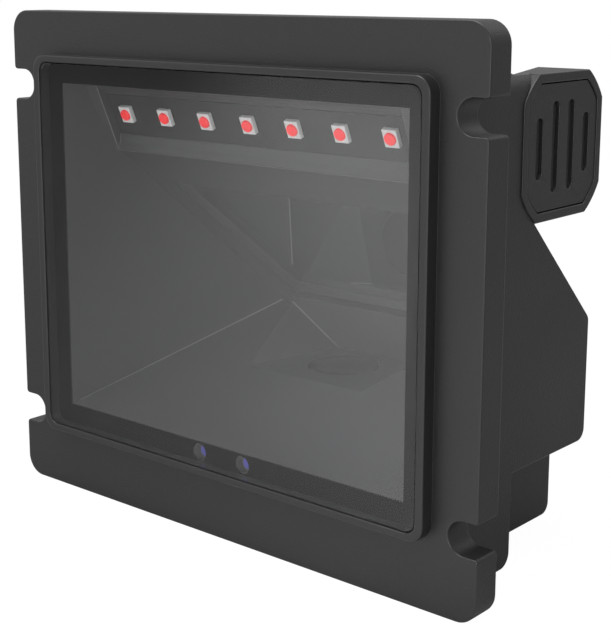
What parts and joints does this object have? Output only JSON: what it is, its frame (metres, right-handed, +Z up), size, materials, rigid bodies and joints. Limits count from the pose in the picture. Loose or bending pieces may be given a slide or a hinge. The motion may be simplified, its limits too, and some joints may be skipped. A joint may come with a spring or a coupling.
{
  "type": "fixed barcode reader",
  "caption": "Flange-mounted barcode reader with a bezelled clear window, a lit chamber with mirror and camera, and a wedge housing with a speaker pod.",
  "frame": {"origin": "centre of the flange's front face, which seats behind the panel", "axes": "-Y is the reading direction, +Y the back, +X the right side seen from the front, +Z up"},
  "size_m": [0.114, 0.0547, 0.0978],
  "materials": {
    "shell_plastic": "fine-grained matte black moulding",
    "window_clear": "clear polished window",
    "border_black": "black printed border",
    "chamber_plastic": "smooth dark grey moulding",
    "mirror_glass": "front-silvered mirror",
    "led_board_black": "black solder mask",
    "led_body": "pale grey package",
    "led_red": "clear red resin",
    "sensor_violet": "violet tinted resin",
    "board_green": "green solder mask",
    "camera_black": "anti-glare black",
    "lens_glass": "coated lens",
    "chip_black": "moulded chip package",
    "socket_plastic": "black socket moulding",
    "contact_gold": "gold-plated spring contacts",
    "seal_foam": "closed-cell foam",
    "steel": "plated steel",
    "cone_paper": "coated cone"
  },
  "bodies": {
    "root": {"front_frame": "shell_plastic", "rear_housing": "shell_plastic", "speaker_grille": "shell_plastic", "window_glass": "window_clear", "window_mask": "border_black", "light_chamber": "chamber_plastic", "fold_mirror": "mirror_glass", "led_board": "led_board_black", "led_1": "led_body", "led_2": "led_body", "led_3": "led_body", "led_4": "led_body", "led_5": "led_body", "led_6": "led_body", "led_7": "led_body", "led_lens_1": "led_red", "led_lens_2": "led_red", "led_lens_3": "led_red", "led_lens_4": "led_red", "led_lens_5": "led_red", "led_lens_6": "led_red", "led_lens_7": "led_red", "ir_emitter": "sensor_violet", "ir_receiver": "sensor_violet", "sensor_board": "board_green", "camera_board": "board_green", "decoder_board": "board_green", "interface_board": "board_green", "lens_holder": "camera_black", "lens_barrel": "camera_black", "camera_lens": "lens_glass", "image_sensor": "chip_black", "decoder_chip": "chip_black", "memory_chip": "chip_black", "data_socket": "socket_plastic", "socket_contacts": "contact_gold", "speaker_gasket": "seal_foam", "speaker_frame": "steel", "speaker_magnet": "steel", "housing_screws": "steel", "chamber_screws": "steel", "camera_screws": "steel", "decoder_screws": "steel", "interface_screws": "steel", "speaker_cone": "cone_paper"}
  },
  "joints": []
}
